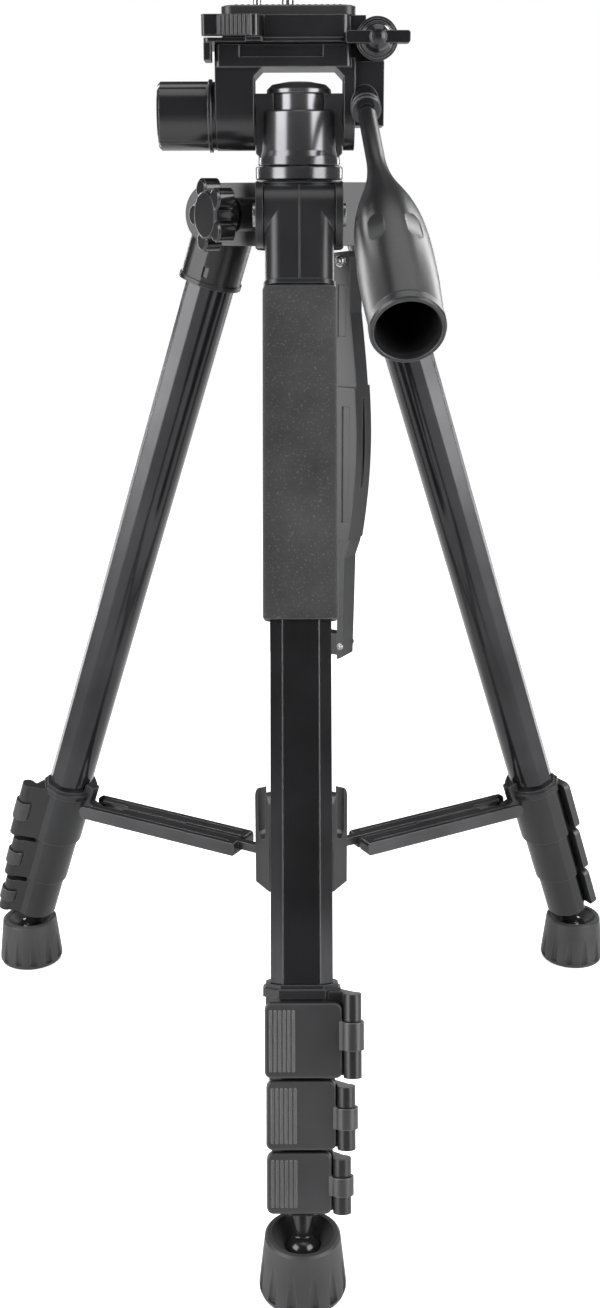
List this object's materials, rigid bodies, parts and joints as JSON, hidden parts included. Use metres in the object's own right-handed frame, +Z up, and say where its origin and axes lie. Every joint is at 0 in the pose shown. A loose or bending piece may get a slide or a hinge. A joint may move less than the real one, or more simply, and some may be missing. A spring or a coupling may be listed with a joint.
{
  "type": "tripod with pan and tilt head",
  "caption": "Folding camera tripod with telescoping flip-lock legs, a mid-level spreader, a sliding centre column and a pan and tilt head with a quick-release plate.",
  "frame": {"origin": "on the tripod's vertical axis at floor level, level with the underside of the three feet", "axes": "+Z up along the centre column, -Y toward leg 1 and the pan handle, +X to the right of a viewer facing leg 1"},
  "size_m": [0.4044, 0.3575, 0.5892],
  "materials": {
    "black_anodised": "glossy black anodised tube",
    "moulded_plastic": "satin black moulded plastic",
    "lever_plastic": "satin dark grey plastic",
    "rubber": "matte dark rubber",
    "spreader_metal": "satin dark grey",
    "bolt_steel": "blackened steel",
    "handle_plastic": "satin black",
    "foam": "soft closed-cell foam",
    "knob_plastic": "semi-gloss black",
    "head_metal": "satin black paint",
    "head_plastic": "semi-gloss black",
    "grip_rubber": "smooth black rubber",
    "plate_plastic": "satin dark plastic with a rubber top",
    "screw_steel": "steel"
  },
  "bodies": {
    "shoulder": {"shoulder_casting": "moulded_plastic", "centre_tube": "black_anodised", "leg_pivot_bolts": "bolt_steel", "handle_clamps": "moulded_plastic", "carry_handle": "handle_plastic"},
    "leg_1": {"leg_1_top": "moulded_plastic", "leg_1_tube_1": "black_anodised", "leg_1_collar_1": "moulded_plastic", "foam_grip": "foam"},
    "leg_1_section_2": {"leg_1_tube_2": "black_anodised", "leg_1_collar_2": "moulded_plastic"},
    "leg_1_section_3": {"leg_1_tube_3": "black_anodised", "leg_1_collar_3": "moulded_plastic"},
    "leg_1_section_4": {"leg_1_tube_4": "black_anodised"},
    "leg_1_foot": {"leg_1_foot": "rubber"},
    "leg_1_lever_1": {"leg_1_lever_1": "lever_plastic"},
    "leg_1_lever_2": {"leg_1_lever_2": "lever_plastic"},
    "leg_1_lever_3": {"leg_1_lever_3": "lever_plastic"},
    "spreader_arm_1": {"spreader_arm_1": "spreader_metal"},
    "leg_2": {"leg_2_top": "moulded_plastic", "leg_2_tube_1": "black_anodised", "leg_2_collar_1": "moulded_plastic"},
    "leg_2_section_2": {"leg_2_tube_2": "black_anodised", "leg_2_collar_2": "moulded_plastic"},
    "leg_2_section_3": {"leg_2_tube_3": "black_anodised", "leg_2_collar_3": "moulded_plastic"},
    "leg_2_section_4": {"leg_2_tube_4": "black_anodised"},
    "leg_2_foot": {"leg_2_foot": "rubber"},
    "leg_2_lever_1": {"leg_2_lever_1": "lever_plastic"},
    "leg_2_lever_2": {"leg_2_lever_2": "lever_plastic"},
    "leg_2_lever_3": {"leg_2_lever_3": "lever_plastic"},
    "spreader_arm_2": {"spreader_arm_2": "spreader_metal"},
    "leg_3": {"leg_3_top": "moulded_plastic", "leg_3_tube_1": "black_anodised", "leg_3_collar_1": "moulded_plastic"},
    "leg_3_section_2": {"leg_3_tube_2": "black_anodised", "leg_3_collar_2": "moulded_plastic"},
    "leg_3_section_3": {"leg_3_tube_3": "black_anodised", "leg_3_collar_3": "moulded_plastic"},
    "leg_3_section_4": {"leg_3_tube_4": "black_anodised"},
    "leg_3_foot": {"leg_3_foot": "rubber"},
    "leg_3_lever_1": {"leg_3_lever_1": "lever_plastic"},
    "leg_3_lever_2": {"leg_3_lever_2": "lever_plastic"},
    "leg_3_lever_3": {"leg_3_lever_3": "lever_plastic"},
    "spreader_arm_3": {"spreader_arm_3": "spreader_metal"},
    "spreader_hub": {"spreader_hub": "moulded_plastic"},
    "column_lock_knob": {"column_lock_knob": "knob_plastic"},
    "column": {"centre_column": "black_anodised", "pan_base": "head_metal"},
    "pan_body": {"pan_body": "head_metal"},
    "tilt_yoke": {"tilt_yoke": "head_plastic"},
    "tilt_lock_knob": {"tilt_lock_knob": "knob_plastic"},
    "pan_handle": {"pan_handle_rod": "black_anodised", "pan_handle_grip": "grip_rubber"},
    "qr_platform": {"qr_platform": "head_plastic"},
    "flip_wing_screw": {"flip_wing_screw": "knob_plastic"},
    "qr_lever": {"qr_lever": "knob_plastic"},
    "qr_plate": {"qr_plate": "plate_plastic"},
    "camera_screw": {"camera_screw": "screw_steel"},
    "anti_twist_pin": {"anti_twist_pin": "screw_steel"}
  },
  "joints": [
    {"name": "leg_1_hinge", "type": "hinge", "parent": "shoulder", "child": "leg_1", "pos_m": [0, -0.041, 0.485], "axis": [1, 0, 0], "range_deg": [0, 19.97]},
    {"name": "leg_1_slide_2", "type": "slide", "parent": "leg_1", "child": "leg_1_section_2", "axis": [0, -0.3416, -0.9399], "range_m": [0, 0.29]},
    {"name": "leg_1_slide_3", "type": "slide", "parent": "leg_1_section_2", "child": "leg_1_section_3", "axis": [0, -0.3416, -0.9399], "range_m": [0, 0.29]},
    {"name": "leg_1_slide_4", "type": "slide", "parent": "leg_1_section_3", "child": "leg_1_section_4", "axis": [0, -0.3416, -0.9399], "range_m": [0, 0.29]},
    {"name": "leg_1_lever_1_hinge", "type": "hinge", "parent": "leg_1", "child": "leg_1_lever_1", "pos_m": [0.0233, -0.19077, 0.11915], "axis": [0, 0.3416, 0.9399], "range_deg": [0, 120]},
    {"name": "leg_1_lever_2_hinge", "type": "hinge", "parent": "leg_1_section_2", "child": "leg_1_lever_2", "pos_m": [0.0203, -0.20138, 0.08471], "axis": [0, 0.3416, 0.9399], "range_deg": [0, 120]},
    {"name": "leg_1_lever_3_hinge", "type": "hinge", "parent": "leg_1_section_3", "child": "leg_1_lever_3", "pos_m": [0.0182, -0.21031, 0.05603], "axis": [0, 0.3416, 0.9399], "range_deg": [0, 120]},
    {"name": "leg_1_foot_hinge", "type": "hinge", "parent": "leg_1_section_4", "child": "leg_1_foot", "pos_m": [0, -0.21, 0.02], "axis": [1, 0, 0], "range_deg": [-35, 12]},
    {"name": "spreader_arm_1_hinge", "type": "hinge", "parent": "leg_1", "child": "spreader_arm_1", "pos_m": [0, -0.15, 0.119], "axis": [1, 0, 0], "range_deg": [0, 71.25]},
    {"name": "leg_2_hinge", "type": "hinge", "parent": "shoulder", "child": "leg_2", "pos_m": [0.03551, 0.0205, 0.485], "axis": [-0.5, 0.866, 0], "range_deg": [0, 19.97]},
    {"name": "leg_2_slide_2", "type": "slide", "parent": "leg_2", "child": "leg_2_section_2", "axis": [0.2958, 0.1708, -0.9399], "range_m": [0, 0.29]},
    {"name": "leg_2_slide_3", "type": "slide", "parent": "leg_2_section_2", "child": "leg_2_section_3", "axis": [0.2958, 0.1708, -0.9399], "range_m": [0, 0.29]},
    {"name": "leg_2_slide_4", "type": "slide", "parent": "leg_2_section_3", "child": "leg_2_section_4", "axis": [0.2958, 0.1708, -0.9399], "range_m": [0, 0.29]},
    {"name": "leg_2_lever_1_hinge", "type": "hinge", "parent": "leg_2", "child": "leg_2_lever_1", "pos_m": [0.15357, 0.11557, 0.11915], "axis": [-0.2958, -0.1708, 0.9399], "range_deg": [0, 120]},
    {"name": "leg_2_lever_2_hinge", "type": "hinge", "parent": "leg_2_section_2", "child": "leg_2_lever_2", "pos_m": [0.16425, 0.11827, 0.08471], "axis": [-0.2958, -0.1708, 0.9399], "range_deg": [0, 120]},
    {"name": "leg_2_lever_3_hinge", "type": "hinge", "parent": "leg_2_section_3", "child": "leg_2_lever_3", "pos_m": [0.17303, 0.12092, 0.05603], "axis": [-0.2958, -0.1708, 0.9399], "range_deg": [0, 120]},
    {"name": "leg_2_foot_hinge", "type": "hinge", "parent": "leg_2_section_4", "child": "leg_2_foot", "pos_m": [0.18186, 0.105, 0.02], "axis": [-0.5, 0.866, 0], "range_deg": [-35, 12]},
    {"name": "spreader_arm_2_hinge", "type": "hinge", "parent": "leg_2", "child": "spreader_arm_2", "pos_m": [0.1299, 0.075, 0.119], "axis": [-0.5, 0.866, 0], "range_deg": [0, 71.25]},
    {"name": "leg_3_hinge", "type": "hinge", "parent": "shoulder", "child": "leg_3", "pos_m": [-0.03551, 0.0205, 0.485], "axis": [-0.5, -0.866, 0], "range_deg": [0, 19.97]},
    {"name": "leg_3_slide_2", "type": "slide", "parent": "leg_3", "child": "leg_3_section_2", "axis": [-0.2958, 0.1708, -0.9399], "range_m": [0, 0.29]},
    {"name": "leg_3_slide_3", "type": "slide", "parent": "leg_3_section_2", "child": "leg_3_section_3", "axis": [-0.2958, 0.1708, -0.9399], "range_m": [0, 0.29]},
    {"name": "leg_3_slide_4", "type": "slide", "parent": "leg_3_section_3", "child": "leg_3_section_4", "axis": [-0.2958, 0.1708, -0.9399], "range_m": [0, 0.29]},
    {"name": "leg_3_lever_1_hinge", "type": "hinge", "parent": "leg_3", "child": "leg_3_lever_1", "pos_m": [-0.17686, 0.07521, 0.11915], "axis": [0.2958, -0.1708, 0.9399], "range_deg": [0, 120]},
    {"name": "leg_3_lever_2_hinge", "type": "hinge", "parent": "leg_3_section_2", "child": "leg_3_lever_2", "pos_m": [-0.18455, 0.08311, 0.08471], "axis": [0.2958, -0.1708, 0.9399], "range_deg": [0, 120]},
    {"name": "leg_3_lever_3_hinge", "type": "hinge", "parent": "leg_3_section_3", "child": "leg_3_lever_3", "pos_m": [-0.19123, 0.08939, 0.05603], "axis": [0.2958, -0.1708, 0.9399], "range_deg": [0, 120]},
    {"name": "leg_3_foot_hinge", "type": "hinge", "parent": "leg_3_section_4", "child": "leg_3_foot", "pos_m": [-0.18186, 0.105, 0.02], "axis": [-0.5, -0.866, 0], "range_deg": [-35, 12]},
    {"name": "spreader_arm_3_hinge", "type": "hinge", "parent": "leg_3", "child": "spreader_arm_3", "pos_m": [-0.1299, 0.075, 0.119], "axis": [-0.5, -0.866, 0], "range_deg": [0, 71.25]},
    {"name": "hub_slide", "type": "slide", "parent": "shoulder", "child": "spreader_hub", "axis": [0, 0, 1], "range_m": [0, 0.10486]},
    {"name": "column_knob_turn", "type": "hinge", "parent": "shoulder", "child": "column_lock_knob", "pos_m": [-0.0433, -0.025, 0.485], "axis": [-0.866, -0.5, 0], "range_deg": [0, 360]},
    {"name": "column_slide", "type": "slide", "parent": "shoulder", "child": "column", "axis": [0, 0, 1], "range_m": [0, 0.2]},
    {"name": "pan", "type": "hinge", "parent": "column", "child": "pan_body", "pos_m": [0, 0, 0.512], "axis": [0, 0, 1], "continuous": true},
    {"name": "tilt", "type": "hinge", "parent": "pan_body", "child": "tilt_yoke", "pos_m": [0, 0, 0.5335], "axis": [1, 0, 0], "range_deg": [-90, 20]},
    {"name": "tilt_knob_turn", "type": "hinge", "parent": "tilt_yoke", "child": "tilt_lock_knob", "pos_m": [-0.055, 0, 0.5335], "axis": [-1, 0, 0], "range_deg": [0, 360]},
    {"name": "handle_turn", "type": "hinge", "parent": "tilt_yoke", "child": "pan_handle", "pos_m": [0.0332, -0.02, 0.5363], "axis": [0.054, -0.8718, -0.4869], "range_deg": [0, 360]},
    {"name": "flip", "type": "hinge", "parent": "tilt_yoke", "child": "qr_platform", "pos_m": [0.0385, 0, 0.5685], "axis": [0, 1, 0], "range_deg": [0, 90]},
    {"name": "wing_screw_turn", "type": "hinge", "parent": "tilt_yoke", "child": "flip_wing_screw", "pos_m": [0.0385, -0.025, 0.5685], "axis": [0, -1, 0], "range_deg": [0, 360]},
    {"name": "qr_lever_hinge", "type": "hinge", "parent": "qr_platform", "child": "qr_lever", "pos_m": [-0.022, -0.0284, 0.574], "axis": [0, 0, 1], "range_deg": [0, 70]},
    {"name": "plate_lift", "type": "slide", "parent": "qr_platform", "child": "qr_plate", "axis": [0, 0, 1], "range_m": [0, 0.03]},
    {"name": "camera_screw_turn", "type": "hinge", "parent": "qr_plate", "child": "camera_screw", "pos_m": [-0.0055, 0, 0.58], "axis": [0, 0, 1], "continuous": true},
    {"name": "pin_press", "type": "slide", "parent": "qr_plate", "child": "anti_twist_pin", "axis": [0, 0, -1], "range_m": [0, 0.0042], "stiffness_N_per_m": 300, "springref_m": -0.001}
  ],
  "couplings": [
    {"joint": "spreader_arm_1_hinge", "follows": "leg_1_hinge", "ratio": 3.5656},
    {"joint": "leg_2_hinge", "follows": "leg_1_hinge", "ratio": 1},
    {"joint": "spreader_arm_2_hinge", "follows": "leg_1_hinge", "ratio": 3.5656},
    {"joint": "leg_3_hinge", "follows": "leg_1_hinge", "ratio": 1},
    {"joint": "spreader_arm_3_hinge", "follows": "leg_1_hinge", "ratio": 3.5656},
    {"joint": "hub_slide", "follows": "leg_1_hinge", "m_per_rad": 0.30027}
  ]
}
